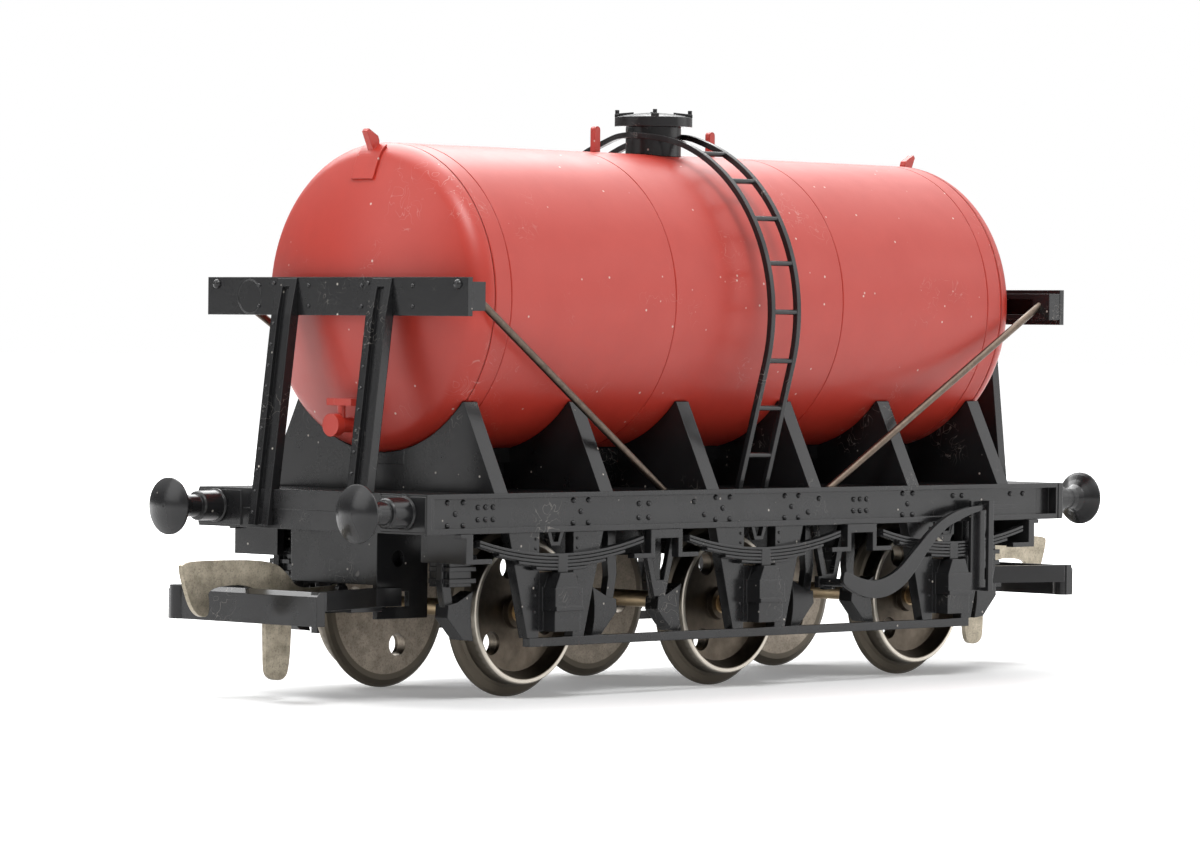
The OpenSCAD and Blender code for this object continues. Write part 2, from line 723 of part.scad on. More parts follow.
// A block and its hanger on the -X side of the axle at x
module brake_block(x) {
    inner = flange_r + block_gap;
    tip = brake_tip;
    translate([x, 0, 0]) {
        upright(-block_front, block_w) difference() {
            polygon([
                [-inner + 0.9, axle_z + 2.3], [-inner - 0.15, axle_z + 1.8],
                [-tip + 1.2, axle_z + 1.1], [-tip + 0.1, axle_z + 0.9], [-tip, axle_z - 0.2],
                [-inner - 0.9, axle_z - 2.1], [-inner + 0.9, axle_z - 2.3]
            ]);
            translate([0, axle_z]) circle(r = inner);
        }
        upright(-block_front + 0.4, block_w - 0.8) polygon([
            [-tip + 1, axle_z + 1], [-tip + 0.1, axle_z + 0.6], [-tip - 0.35, axle_z + 3],
            [-tip - 0.3, axle_z + 4.2], [-tip - 0.1, deck_under], [-tip + 0.7, deck_under],
            [-tip + 0.85, axle_z + 4.2], [-tip + 0.7, axle_z + 2.8]
        ]);
    }
}

// Two thin legs under the sole bar that meet at x
module v_hanger(x) {
    upright(hanger_front, 0.5) polygon([
        [x - 2.4, frame_under], [x - 0.7, lever_pin_z - 0.7], [x + 0.7, lever_pin_z - 0.7],
        [x + 2.4, frame_under], [x + 1.6, frame_under], [x + 0.5, lever_pin_z + 0.7],
        [x - 0.5, lever_pin_z + 0.7], [x - 1.6, frame_under]
    ]);
}

module brake_gear(left) {
    color(BLACK) turned(left) {
        for (s = [-1, 1]) mirror([s < 0 ? 0 : 1, 0, 0]) {
            brake_block(-axle_pitch);
            brake_block(0);
            mirror([1, 0, 0]) brake_block(axle_pitch);
            // Ribbed box above the outermost block
            translate([-axle_pitch - brake_tip + 0.2, -block_front, axle_z + 2.4])
                cube([2.6, 2.4, deck_under - axle_z - 2.4]);
            for (z = [2.7 : 1 : 4.7])
                translate([-axle_pitch - brake_tip - 0.1, -block_front - 0.3, axle_z + z])
                    cube([3.2, 2.5, 0.4]);
        }
        v_hanger(-lever_pin_x - 1.1);
    }
}

module brake_lever(left) {
    front = -side_y - 1.18;
    guard_x = axle_pitch + 3.4;
    guard_low = axle_z + 0.55;
    guard_high = frame_under + 1.9;
    handle_z = frame_under + 1.3;
    color(BLACK) turned(left) {
        upright(front, 0.45) polygon(softened([
            [lever_pin_x - 0.75, lever_pin_z + 0.55], [lever_pin_x - 0.5, lever_pin_z + 1.1],
            [lever_pin_x + 0.1, lever_pin_z + 0.9], [lever_pin_x + 2.3, lever_pin_z + 0.2],
            [lever_pin_x + 4.3, lever_pin_z + 0.1], [lever_pin_x + 6.8, lever_pin_z + 0.9],
            [lever_pin_x + 9.2, lever_pin_z + 2.8], [lever_pin_x + 12, lever_pin_z + 5],
            [lever_pin_x + 15, lever_pin_z + 6.3], [guard_x - 0.6, handle_z + 0.25],
            [guard_x + 4.6, handle_z + 0.25], [guard_x + 4.6, handle_z - 0.15],
            [guard_x - 0.6, handle_z - 0.2], [lever_pin_x + 15.7, lever_pin_z + 5.5],
            [lever_pin_x + 13.2, lever_pin_z + 4.6], [lever_pin_x + 10.7, lever_pin_z + 2.4],
            [lever_pin_x + 8.3, lever_pin_z - 0.1], [lever_pin_x + 5.9, lever_pin_z - 1.25],
            [lever_pin_x + 3.7, lever_pin_z - 1.55], [lever_pin_x + 1.6, lever_pin_z - 1.2],
            [lever_pin_x - 0.2, lever_pin_z - 0.4], [lever_pin_x - 0.75, lever_pin_z]
        ], 3));
        v_hanger(lever_pin_x + 1.1);
        upright(hanger_front, 0.5) translate([lever_pin_x - 0.4, lever_pin_z - 0.5])
            square([1.6, 1]);
        translate([lever_pin_x, hanger_front + 0.25, lever_pin_z]) rotate([90, 0, 0])
            cylinder(h = hanger_front + 0.25 - front - 0.2, d = 0.7, $fn = 32);
        // Guard that the lever rises in: a back plate and a front strip
        translate([guard_x - 1.4, front + 0.55, guard_low])
            cube([2, 0.3, guard_high - guard_low]);
        translate([guard_x, front - 0.4, guard_low]) cube([0.7, 0.32, guard_high - guard_low]);
        translate([guard_x, front - 0.4, guard_low]) cube([0.7, 1.2, 0.3]);
        translate([guard_x, front - 0.4, guard_high - 0.3]) cube([0.7, 1.2, 0.3]);
        translate([guard_x - 1.4, front + 0.6, frame_under + 0.1])
            cube([2, -side_y - front - 0.6, 0.4]);
    }
}

// ---------------------------------------------------------------- couplings

module coupling_mount(front) {
    cheek_t = 0.5;
    cheek_low = axle_z - 0.45;
    color(BLACK) turned(front) {
        // Front plate, core and top flange
        translate([-mount_face, -mount_half_w, mount_under])
            cube([0.7, 2 * mount_half_w, frame_under - mount_under]);
        translate([-mount_face, -mount_half_w + 0.9, mount_under])
            cube([mount_len, 2 * mount_half_w - 1.8, frame_under - mount_under]);
        translate([-mount_face, -mount_half_w, frame_under - 0.6])
            cube([mount_len, 2 * mount_half_w, 0.6]);
        // Cheeks with a hole and a slot below it
        for (y = [-mount_half_w, mount_half_w - cheek_t]) difference() {
            translate([-mount_face + 0.05, y, cheek_low])
                cube([mount_len + 0.1, cheek_t, frame_under - cheek_low]);
            translate([-mount_face + 2.5, y - 1, frame_under - 2.3]) rotate([-90, 0, 0])
                cylinder(h = 3, r = 0.7, $fn = 32);
            upright(y - 1, 3) polygon([
                [-mount_face + 1.1, cheek_low + 1], [-mount_face + 3.8, cheek_low + 1],
                [-mount_face + 3.8, cheek_low + 2.3], [-mount_face + 2.9, cheek_low + 2.3],
                [-mount_face + 2.9, mount_under - 0.25], [-mount_face + 1.1, mount_under - 0.25]
            ]);
        }
    }
}

module coupling_bar(front) {
    arm_y = coupling_w / 2 - 0.1;
    tail_x = mount_face - 2.2;
    ear_y = hook_t / 2 + 0.1;
    plate_z = hook_pin_z - 1.5;
    color(BLACK) turned(front) {
        // Front bar, bevelled along its top, with a round end to its inner side
        upright(-coupling_w / 2, coupling_w) polygon([
            [-bar_front, bar_top - bar_h], [-bar_front + bar_t, bar_top - bar_h],
            [-bar_front + bar_t, bar_top], [-bar_front + 0.4, bar_top],
            [-bar_front, bar_top - 0.4]
        ]);
        translate([-bar_front + 0.5, coupling_w / 2 - 0.9, bar_top - bar_h])
            cylinder(h = bar_h, r = 0.9, $fn = 48);
        // Arms from the bar back to the mount
        for (s = [-1, 1]) translate([0, 0, bar_top - arm_h])
            linear_extrude(height = arm_h) polygon([
                [-bar_front + 0.2, s * arm_y], [-bar_front + 1.2, s * arm_y],
                [-mount_face - 0.8, s * (mount_half_w + arm_t)],
                [-tail_x, s * (mount_half_w + arm_t)], [-tail_x, s * mount_half_w],
                [-mount_face - 0.4, s * mount_half_w],
                [-bar_front + 0.9, s * (arm_y - arm_t)], [-bar_front + 0.2, s * (arm_y - arm_t)]
            ]);
        // Cross plate in front of the mount, with the hook's ears and pin behind it
        translate([-frame_half - 0.9, -mount_half_w - 0.7, plate_z])
            cube([frame_half - mount_face + 0.86, 2 * mount_half_w + 1.4, 0.6]);
        for (y = [ear_y, -ear_y - 0.5]) upright(y, 0.5) union() {
            translate([-mount_face - 1, plate_z]) square([1 + mount_face - hook_pin_x, 0.6]);
            translate([-hook_pin_x - 0.6, plate_z + 0.1])
                square([1.2, hook_pin_z - plate_z - 0.1]);
            translate([-hook_pin_x, hook_pin_z]) circle(d = 1.24);
        }
        translate([-hook_pin_x, ear_y + 0.5, hook_pin_z]) rotate([90, 0, 0])
            cylinder(h = 2 * ear_y + 1, d = hook_pin_d, $fn = 48);
    }
}

module coupling_hook(front) {
    tip = bar_front + 6.9;
    under = bar_top + 0.3;
    top = under + 2.15;
    shank_x = bar_front - 4.1;
    color(NICKEL) turned(front) difference() {
        union() {
            upright(-hook_t / 2, hook_t) polygon(softened([
                [-tip, top - 0.1], [-tip - 0.05, under + 1.3], [-tip + 0.5, under - 0.35],
                [-tip + 1.1, under - 1.75], [-tip + 1.9, under - 2.5],
                [-tip + 2.9, under - 2.6], [-tip + 3.1, under - 1.6], [-tip + 2.8, under],
                [-shank_x - 1.6, under], [-shank_x - 1.5, axle_z - 3.8],
                [-shank_x - 1.3, axle_z - 5.4], [-shank_x + 0.5, axle_z - 5.7],
                [-shank_x + 1.3, axle_z - 4.6], [-shank_x + 1.5, under - 1.2],
                [-shank_x + 2.2, hook_pin_z - 0.7], [-hook_pin_x - 0.8, hook_pin_z - 0.55],
                [-hook_pin_x - 0.2, hook_pin_z - 0.5], [-hook_pin_x - 0.2, hook_pin_z + 0.5],
                [-hook_pin_x - 0.8, hook_pin_z + 0.45], [-shank_x + 2.1, hook_pin_z + 0.3],
                [-shank_x + 1, hook_pin_z + 1.6], [-shank_x - 0.8, top - 0.15],
                [-tip + 4, top]
            ], 3));
            upright(-hook_t / 2, hook_t) translate([-hook_pin_x, hook_pin_z]) circle(d = 1.24);
        }
        translate([-hook_pin_x, 1, hook_pin_z]) rotate([90, 0, 0])
            cylinder(h = 2, r = hook_pin_d / 2 + hook_play, $fn = 48);
    }
}

// ---------------------------------------------------------------- wheelsets

wheel_seat = 0.01;
hole_d = 2;
hole_ring_r = 3.9;
wheel_in = back_to_back / 2;
wheel_out = wheel_in + wheel_w;

module axle(i) {
    shoulder = wheel_out + 0.1;
    journal_end = guard_back + 1.15;
    color(STEEL) translate([axle_pitch * (i - 2), 0, axle_z]) {
        rotate([90, 0, 0]) translate([0, 0, -shoulder])
            cylinder(h = 2 * shoulder, d = axle_d);
        for (a = [90, -90]) rotate([a, 0, 0]) translate([0, 0, shoulder])  {
            cylinder(h = journal_end - shoulder, d = journal_d);
            translate([0, 0, journal_end - shoulder])
                cylinder(h = 0.5, d1 = journal_d, d2 = 0.2);
        }
    }
}

module wheel(phase) {
    rim_in = tread_r - 0.55;
    web_out = wheel_out - 1.3;
    hub_r = axle_d / 2 + 0.75;
    difference() {
        rotate_extrude($fn = 96) polygon([
            [axle_d / 2 + wheel_seat, wheel_in], [flange_r - 0.65, wheel_in],
            [flange_r - 0.2, wheel_in + 0.14], [flange_r, wheel_in + 0.36],
            [flange_r, wheel_in + 0.52], [flange_r - 0.22, wheel_in + 0.72],
            [tread_r + 0.25, wheel_in + 0.86], [tread_r, wheel_in + 1.05],
            [tread_r - 0.1, wheel_out - 0.1], [tread_r - 0.2, wheel_out],
            [rim_in, wheel_out], [tread_r - 1.15, web_out], [hub_r, web_out],
            [hub_r - 0.1, web_out + 0.5], [axle_d / 2 + wheel_seat, web_out + 0.5]
        ]);
        for (a = [0, 120, 240]) rotate([0, 0, phase + a])
            translate([hole_ring_r, 0, 0]) cylinder(h = 20, d = hole_d, $fn = 48);
    }
}

module wheels(i) {
    phase_right = [223, 235, 230][i - 1];
    phase_left = [309, 250, 290][i - 1];
    color(STEEL) translate([axle_pitch * (i - 2), 0, axle_z]) {
        rotate([90, 0, 0]) wheel(phase_right);
        rotate([-90, 0, 0]) wheel(phase_left);
    }
}

tank_barrel();
tank_end(true);  // tank_end_front
tank_end(false);  // tank_end_rear
lifting_lugs();
manhole_neck();
manhole_lid();
lid_clamps();
ladder_side(true);  // ladder_left
ladder_side(false);  // ladder_right
ladder_top();
drain_valve(true);  // drain_valve_front
drain_valve(false);  // drain_valve_rear
saddle(1);  // saddle_1
saddle(2);  // saddle_2
saddle(3);  // saddle_3
saddle(4);  // saddle_4
saddle(5);  // saddle_5
saddle(6);  // saddle_6
cradle_beam();
deck();
underframe();
sole_bar(true);  // sole_bar_left
sole_bar(false);  // sole_bar_right
headstock(true);  // headstock_front
headstock(false);  // headstock_rear
buffers(true);  // buffers_front
buffers(false);  // buffers_rear
end_posts(true);  // end_posts_front
end_posts(false);  // end_posts_rear
end_beam(true);  // end_beam_front
end_beam(false);  // end_beam_rear
stay_rods();
axleguards(true);  // axleguards_left
axleguards(false);  // axleguards_right
axleboxes(true);  // axleboxes_left
axleboxes(false);  // axleboxes_right
leaf_springs(true);  // leaf_springs_left
leaf_springs(false);  // leaf_springs_right
spring_shoes(true);  // spring_shoes_left
spring_shoes(false);  // spring_shoes_right
tie_bar(true);  // tie_bar_left
tie_bar(false);  // tie_bar_right
brake_gear(true);  // brake_gear_left
brake_gear(false);  // brake_gear_right
brake_lever(true);  // brake_lever_left
brake_lever(false);  // brake_lever_right
coupling_mount(true);  // coupling_mount_front
coupling_mount(false);  // coupling_mount_rear
coupling_bar(true);  // coupling_bar_front
coupling_bar(false);  // coupling_bar_rear
coupling_hook(true);  // coupling_hook_front
coupling_hook(false);  // coupling_hook_rear
axle(1);  // axle_1
axle(2);  // axle_2
axle(3);  // axle_3
wheels(1);  // wheels_1
wheels(2);  // wheels_2
wheels(3);  // wheels_3
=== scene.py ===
"""Looks of a small-scale six-wheel tank wagon: finishes, rivets, floor, light and camera."""

import json
import logging
import math
from collections.abc import Sequence
from dataclasses import dataclass, field
from enum import Enum

import bmesh
import bpy
from mathutils import Matrix, Vector


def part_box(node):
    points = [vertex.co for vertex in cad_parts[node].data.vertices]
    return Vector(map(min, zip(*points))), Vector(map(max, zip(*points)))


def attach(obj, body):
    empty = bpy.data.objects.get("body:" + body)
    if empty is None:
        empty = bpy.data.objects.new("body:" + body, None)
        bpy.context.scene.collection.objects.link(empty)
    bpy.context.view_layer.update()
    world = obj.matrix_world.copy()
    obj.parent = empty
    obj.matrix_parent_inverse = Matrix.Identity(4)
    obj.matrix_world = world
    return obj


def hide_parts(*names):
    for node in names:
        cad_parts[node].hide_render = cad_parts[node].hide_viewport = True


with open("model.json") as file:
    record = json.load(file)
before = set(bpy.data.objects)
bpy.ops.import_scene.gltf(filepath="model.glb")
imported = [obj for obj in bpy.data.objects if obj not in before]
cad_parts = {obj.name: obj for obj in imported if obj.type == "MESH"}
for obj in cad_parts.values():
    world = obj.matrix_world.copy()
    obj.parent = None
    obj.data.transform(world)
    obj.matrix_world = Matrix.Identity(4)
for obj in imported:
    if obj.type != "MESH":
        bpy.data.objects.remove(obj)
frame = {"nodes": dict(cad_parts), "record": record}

MM = 0.001
FIXED_BODY = "wagon"
AXLE_X = (-26.0, 0.0, 26.0)
POST_Y = 5.8
LOG = logging.getLogger("wagon")


# ---------------------------------------------------------------- small tools

def linear(hex_colour: str) -> tuple[float, float, float, float]:
    """Turns an sRGB hex colour into a linear colour.

    Args:
        hex_colour: Six hex digits after a hash sign.

    Returns:
        Red, green, blue and an alpha of 1, all linear.
    """
    shares = [int(hex_colour[i:i + 2], 16) / 255 for i in (1, 3, 5)]
    red, green, blue = (
        share / 12.92 if share <= 0.04045 else ((share + 0.055) / 1.055) ** 2.4
        for share in shares
    )
    return red, green, blue, 1.0


def add_node(
    tree: bpy.types.NodeTree,
    kind: str,
    settings: dict[str, object] | None = None,
    inputs: dict[str | int, object] | None = None,
) -> bpy.types.Node:
    """Adds one node, with its settings, values and links.

    Args:
        tree: The tree that the node goes into.
        kind: Blender's name for the node's type.
        settings: Attributes of the node itself.
        inputs: For each input socket, a value or the output socket that feeds it.

    Returns:
        The new node.
    """
    node = tree.nodes.new(kind)
    for key, value in (settings or {}).items():
        setattr(node, key, value)
    for key, value in (inputs or {}).items():
        if isinstance(value, bpy.types.NodeSocket):
            tree.links.new(value, node.inputs[key])
        else:
            node.inputs[key].default_value = value
    return node


def mesh_object(
    name: str, verts: Sequence[Vector], faces: Sequence[Sequence[int]]
) -> bpy.types.Object:
    """Makes a mesh object at the origin.

    Args:
        name: The piece's name.
        verts: Points in metres, in the row frame.
        faces: Corner numbers of each face.

    Returns:
        The new object, linked to the scene.
    """
    mesh = bpy.data.meshes.new(name)
    mesh.from_pydata([tuple(v) for v in verts], [], [tuple(f) for f in faces])
    mesh.validate()
    piece = bpy.data.objects.new(name, mesh)
    bpy.context.scene.collection.objects.link(piece)
    return piece


def smooth_by_angle(piece: bpy.types.Object, degrees: float) -> None:
    """Shades a piece smooth, with sharp edges where faces meet at more than an angle.

    Args:
        piece: The mesh object to shade.
        degrees: The angle past which an edge stays sharp.
    """
    work = bmesh.new()
    work.from_mesh(piece.data)
    for face in work.faces:
        face.smooth = True
    limit = math.radians(degrees)
    for edge in work.edges:
        edge.smooth = len(edge.link_faces) == 2 and edge.calc_face_angle(0.0) < limit
    work.to_mesh(piece.data)
    work.free()


def spin_profile(
    name: str, profile: Sequence[tuple[float, float]], segments: int, to_frame: Matrix,
    weld: float = 1e-7, sharp_over: float = 14.0,
) -> bpy.types.Object:
    """Turns a closed profile into a solid of revolution.

    Args:
        name: The piece's name.
        profile: Points (radius, height) in millimetres, from one pole or round a ring.
        segments: How many steps the circle has.
        to_frame: Takes the profile's own axes, with its axis along Z, to the row frame.
        weld: Points closer than this are joined, in metres.
        sharp_over: Faces that meet at more than this many degrees keep a sharp edge.

    Returns:
        The new piece, with its normals outwards.
    """
    work = bmesh.new()
    ring = [work.verts.new((r * MM, 0.0, h * MM)) for r, h in profile]
    edges = [work.edges.new((ring[i], ring[i + 1])) for i in range(len(ring) - 1)]
    bmesh.ops.spin(
        work, geom=ring + edges, cent=(0, 0, 0), axis=(0, 0, 1),
        angle=math.tau, steps=segments, use_merge=True, use_duplicate=False,
    )
    bmesh.ops.remove_doubles(work, verts=work.verts, dist=weld)
    bmesh.ops.recalc_face_normals(work, faces=work.faces)
    bmesh.ops.transform(work, matrix=to_frame, verts=work.verts)
    bmesh.ops.recalc_face_normals(work, faces=work.faces)
    mesh = bpy.data.meshes.new(name)
    work.to_mesh(mesh)
    work.free()
    piece = bpy.data.objects.new(name, mesh)
    bpy.context.scene.collection.objects.link(piece)
    smooth_by_angle(piece, sharp_over)
    return piece


def box_mm(node: str) -> tuple[Vector, Vector]:
    """Gives a CAD node's lowest and highest corners at rest, in millimetres."""
    low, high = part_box(node)
    return Vector(low) / MM, Vector(high) / MM


def half_turn(point: Vector) -> Vector:
    """Turns a point half round the wagon's upright middle line."""
    return Vector((-point.x, -point.y, point.z))


# ---------------------------------------------------------------- finishes

def principled(name: str) -> tuple[bpy.types.Material, bpy.types.Node]:
    """Makes a material and returns it with its shader node.

    Args:
        name: What the finish is, as a maker names it.

    Returns:
        The material and its shader node.
    """
    material = bpy.data.materials.new(name)
    material.use_nodes = True
    return material, material.node_tree.nodes["Principled BSDF"]


def rounded_normal(tree: bpy.types.NodeTree, radius_mm: float) -> bpy.types.NodeSocket:
    """Gives a normal that rounds every edge, as a mould's edges do."""
    return add_node(
        tree, "ShaderNodeBevel", {"samples": 6}, {"Radius": radius_mm * MM}
    ).outputs["Normal"]


@dataclass(frozen=True)
class MouldedPlastic:
    """Injection-moulded polystyrene: one colour all through, satin, with faint flow mottling.

    The skin is a little uneven at a few tenths of a millimetre, which breaks its highlights up,
    and its edges are round. Settled dust shows as pale specks, and handling leaves fine scuffs
    in patches. Specks and scuffs are drawn a little coarser than real ones, so that they show.
    """

    name: str
    colour: str
    shade: str
    roughness: float
    dust: float = 0.35
    speck_mm: float = 1.3
    mottle_mm: float = 3.5
    grain_mm: float = 0.22
    bump_mm: float = 0.006
    edge_mm: float = 0.07
    specular: float = 0.5
    scuffing: float = 0.3
    scuff_mm: float = 1.6
    pale: str = "#DDD6CC"

    def specks(self, tree: bpy.types.NodeTree, where: bpy.types.NodeSocket) -> bpy.types.NodeSocket:
        """Gives the strength of dust, on a small round speck in a few of the cells.

        Args:
            tree: The material's tree.
            where: The point on the object.

        Returns:
            The share of dust colour at the point.
        """
        bare_below = 0.64
        speck_core, speck_rim = 0.04, 0.1
        cells = add_node(
            tree, "ShaderNodeTexVoronoi", {"feature": "F1"},
            {"Vector": where, "Scale": 1 / (self.speck_mm * MM), "Randomness": 1.0},
        )
        chance = add_node(
            tree, "ShaderNodeMath", {"operation": "GREATER_THAN"},
            {0: cells.outputs["Color"], 1: bare_below},
        )
        near = add_node(
            tree, "ShaderNodeMapRange", {"clamp": True},
            {"Value": cells.outputs["Distance"], "From Min": speck_rim, "From Max": speck_core},
        )
        speck = add_node(
            tree, "ShaderNodeMath", {"operation": "MULTIPLY"},
            {0: chance.outputs[0], 1: near.outputs["Result"]},
        )
        return add_node(
            tree, "ShaderNodeMath", {"operation": "MULTIPLY"}, {0: speck.outputs[0], 1: self.dust}
        ).outputs[0]

    def scuffs(self, tree: bpy.types.NodeTree, where: bpy.types.NodeSocket) -> bpy.types.NodeSocket:
        """Gives the strength of fine pale scratches, which lie in a few rubbed patches.

        Args:
            tree: The material's tree.
            where: The point on the object.

        Returns:
            The share of the pale colour at the point.
        """
        scratch_width = 0.012
        patch_from, patch_to = 0.58, 0.7
        lines = add_node(
            tree, "ShaderNodeTexNoise", {},
            {"Vector": where, "Scale": 1 / (self.scuff_mm * MM), "Detail": 1.0, "Distortion": 1.5},
        )
        off = add_node(
            tree, "ShaderNodeMath", {"operation": "SUBTRACT"}, {0: lines.outputs["Fac"], 1: 0.5}
        )
        away = add_node(tree, "ShaderNodeMath", {"operation": "ABSOLUTE"}, {0: off.outputs[0]})
        thin = add_node(
            tree, "ShaderNodeMapRange", {"clamp": True},
            {"Value": away.outputs[0], "From Min": scratch_width, "From Max": 0.0},
        )
        patches = add_node(
            tree, "ShaderNodeTexNoise", {},
            {"Vector": where, "Scale": 1 / (4 * self.scuff_mm * MM), "Detail": 3.0},
        )
        rubbed = add_node(
            tree, "ShaderNodeMapRange", {"clamp": True},
            {"Value": patches.outputs["Fac"], "From Min": patch_from, "From Max": patch_to,
             "To Max": self.scuffing},
        )
        return add_node(
            tree, "ShaderNodeMath", {"operation": "MULTIPLY"},
            {0: thin.outputs["Result"], 1: rubbed.outputs["Result"]},
        ).outputs[0]

    def build(self) -> bpy.types.Material:
        """Builds the material.

        Returns:
            The new material.
        """
        material, shader = principled(self.name)
        tree = material.node_tree
        where = add_node(tree, "ShaderNodeTexCoord").outputs["Object"]
        mottle = add_node(
            tree, "ShaderNodeTexNoise", {},
            {"Vector": where, "Scale": 1 / (self.mottle_mm * MM), "Detail": 5.0, "Roughness": 0.6},
        )
        base = add_node(
            tree, "ShaderNodeMix", {"data_type": "RGBA"},
            {"Factor": mottle.outputs["Fac"], "A": linear(self.colour), "B": linear(self.shade)},
        )
        pale = add_node(
            tree, "ShaderNodeMath", {"operation": "MAXIMUM"},
            {0: self.specks(tree, where), 1: self.scuffs(tree, where)},
        )
        dusted = add_node(
            tree, "ShaderNodeMix", {"data_type": "RGBA"},
            {"Factor": pale.outputs[0], "A": base.outputs["Result"], "B": linear(self.pale)},
        )
        tree.links.new(dusted.outputs["Result"], shader.inputs["Base Color"])
        grain = add_node(
            tree, "ShaderNodeTexNoise", {},
            {"Vector": where, "Scale": 1 / (self.grain_mm * MM), "Detail": 2.0},
        )
        bump = add_node(
            tree, "ShaderNodeBump", {},
            {"Height": grain.outputs["Fac"], "Distance": self.bump_mm * MM, "Strength": 0.6,
             "Normal": rounded_normal(tree, self.edge_mm)},
        )
        tree.links.new(bump.outputs["Normal"], shader.inputs["Normal"])
        rough = add_node(
            tree, "ShaderNodeMapRange", {},
            {"Value": mottle.outputs["Fac"], "To Min": self.roughness - 0.06,
             "To Max": self.roughness + 0.08},
        )
        tree.links.new(rough.outputs["Result"], shader.inputs["Roughness"])
        shader.inputs["Specular IOR Level"].default_value = self.specular
        return material


@dataclass(frozen=True)
class WornMetal:
    """Plated or blackened metal, dulled unevenly by handling, with fine pits that catch dirt."""

    name: str
    colour: str
    shade: str
    roughness: float
    blotch_mm: float = 1.2
    pit_mm: float = 0.16
    pit_shade: str = "#3A342C"
    pitting: float = 0.5
    edge_mm: float = 0.05

    def surface(
        self, tree: bpy.types.NodeTree, where: bpy.types.NodeSocket
    ) -> tuple[bpy.types.NodeSocket, bpy.types.NodeSocket]:
        """Gives the blotched and pitted colour, and the blotches themselves.

        Args:
            tree: The material's tree.
            where: The point on the object.

        Returns:
            The colour, and how blotched the point is from 0 to 1.
        """
        blotch = add_node(
            tree, "ShaderNodeTexNoise", {},
            {"Vector": where, "Scale": 1 / (self.blotch_mm * MM), "Detail": 6.0,
             "Roughness": 0.65},
        )
        base = add_node(
            tree, "ShaderNodeMix", {"data_type": "RGBA"},
            {"Factor": blotch.outputs["Fac"], "A": linear(self.colour), "B": linear(self.shade)},
        )
        pits = add_node(
            tree, "ShaderNodeTexNoise", {},
            {"Vector": where, "Scale": 1 / (self.pit_mm * MM), "Detail": 3.0, "Roughness": 0.7},
        )
        depth = add_node(
            tree, "ShaderNodeMapRange", {"clamp": True},
            {"Value": pits.outputs["Fac"], "From Min": 0.5, "From Max": 0.72,
             "To Max": self.pitting},
        )
        pitted = add_node(
            tree, "ShaderNodeMix", {"data_type": "RGBA"},
            {"Factor": depth.outputs["Result"], "A": base.outputs["Result"],
             "B": linear(self.pit_shade)},
        )
        return pitted.outputs["Result"], blotch.outputs["Fac"]

    def finish(
        self, tree: bpy.types.NodeTree, shader: bpy.types.Node,
        colour: bpy.types.NodeSocket, blotch: bpy.types.NodeSocket,
    ) -> None:
        """Joins colour, roughness and rounded edges to the shader.

        Args:
            tree: The material's tree.
            shader: Its shader node.
            colour: The metal's colour.
            blotch: How blotched the point is, which sets its roughness.
        """
        tree.links.new(colour, shader.inputs["Base Color"])
        shader.inputs["Metallic"].default_value = 1.0
        rough = add_node(
            tree, "ShaderNodeMapRange", {},
            {"Value": blotch, "To Min": self.roughness - 0.08, "To Max": self.roughness + 0.12},
        )
        tree.links.new(rough.outputs["Result"], shader.inputs["Roughness"])
        tree.links.new(rounded_normal(tree, self.edge_mm), shader.inputs["Normal"])

    def build(self) -> bpy.types.Material:
        """Builds the material.

        Returns:
            The new material.
        """
        material, shader = principled(self.name)
        tree = material.node_tree
        where = add_node(tree, "ShaderNodeTexCoord").outputs["Object"]
        colour, blotch = self.surface(tree, where)
        self.finish(tree, shader, colour, blotch)
        return material


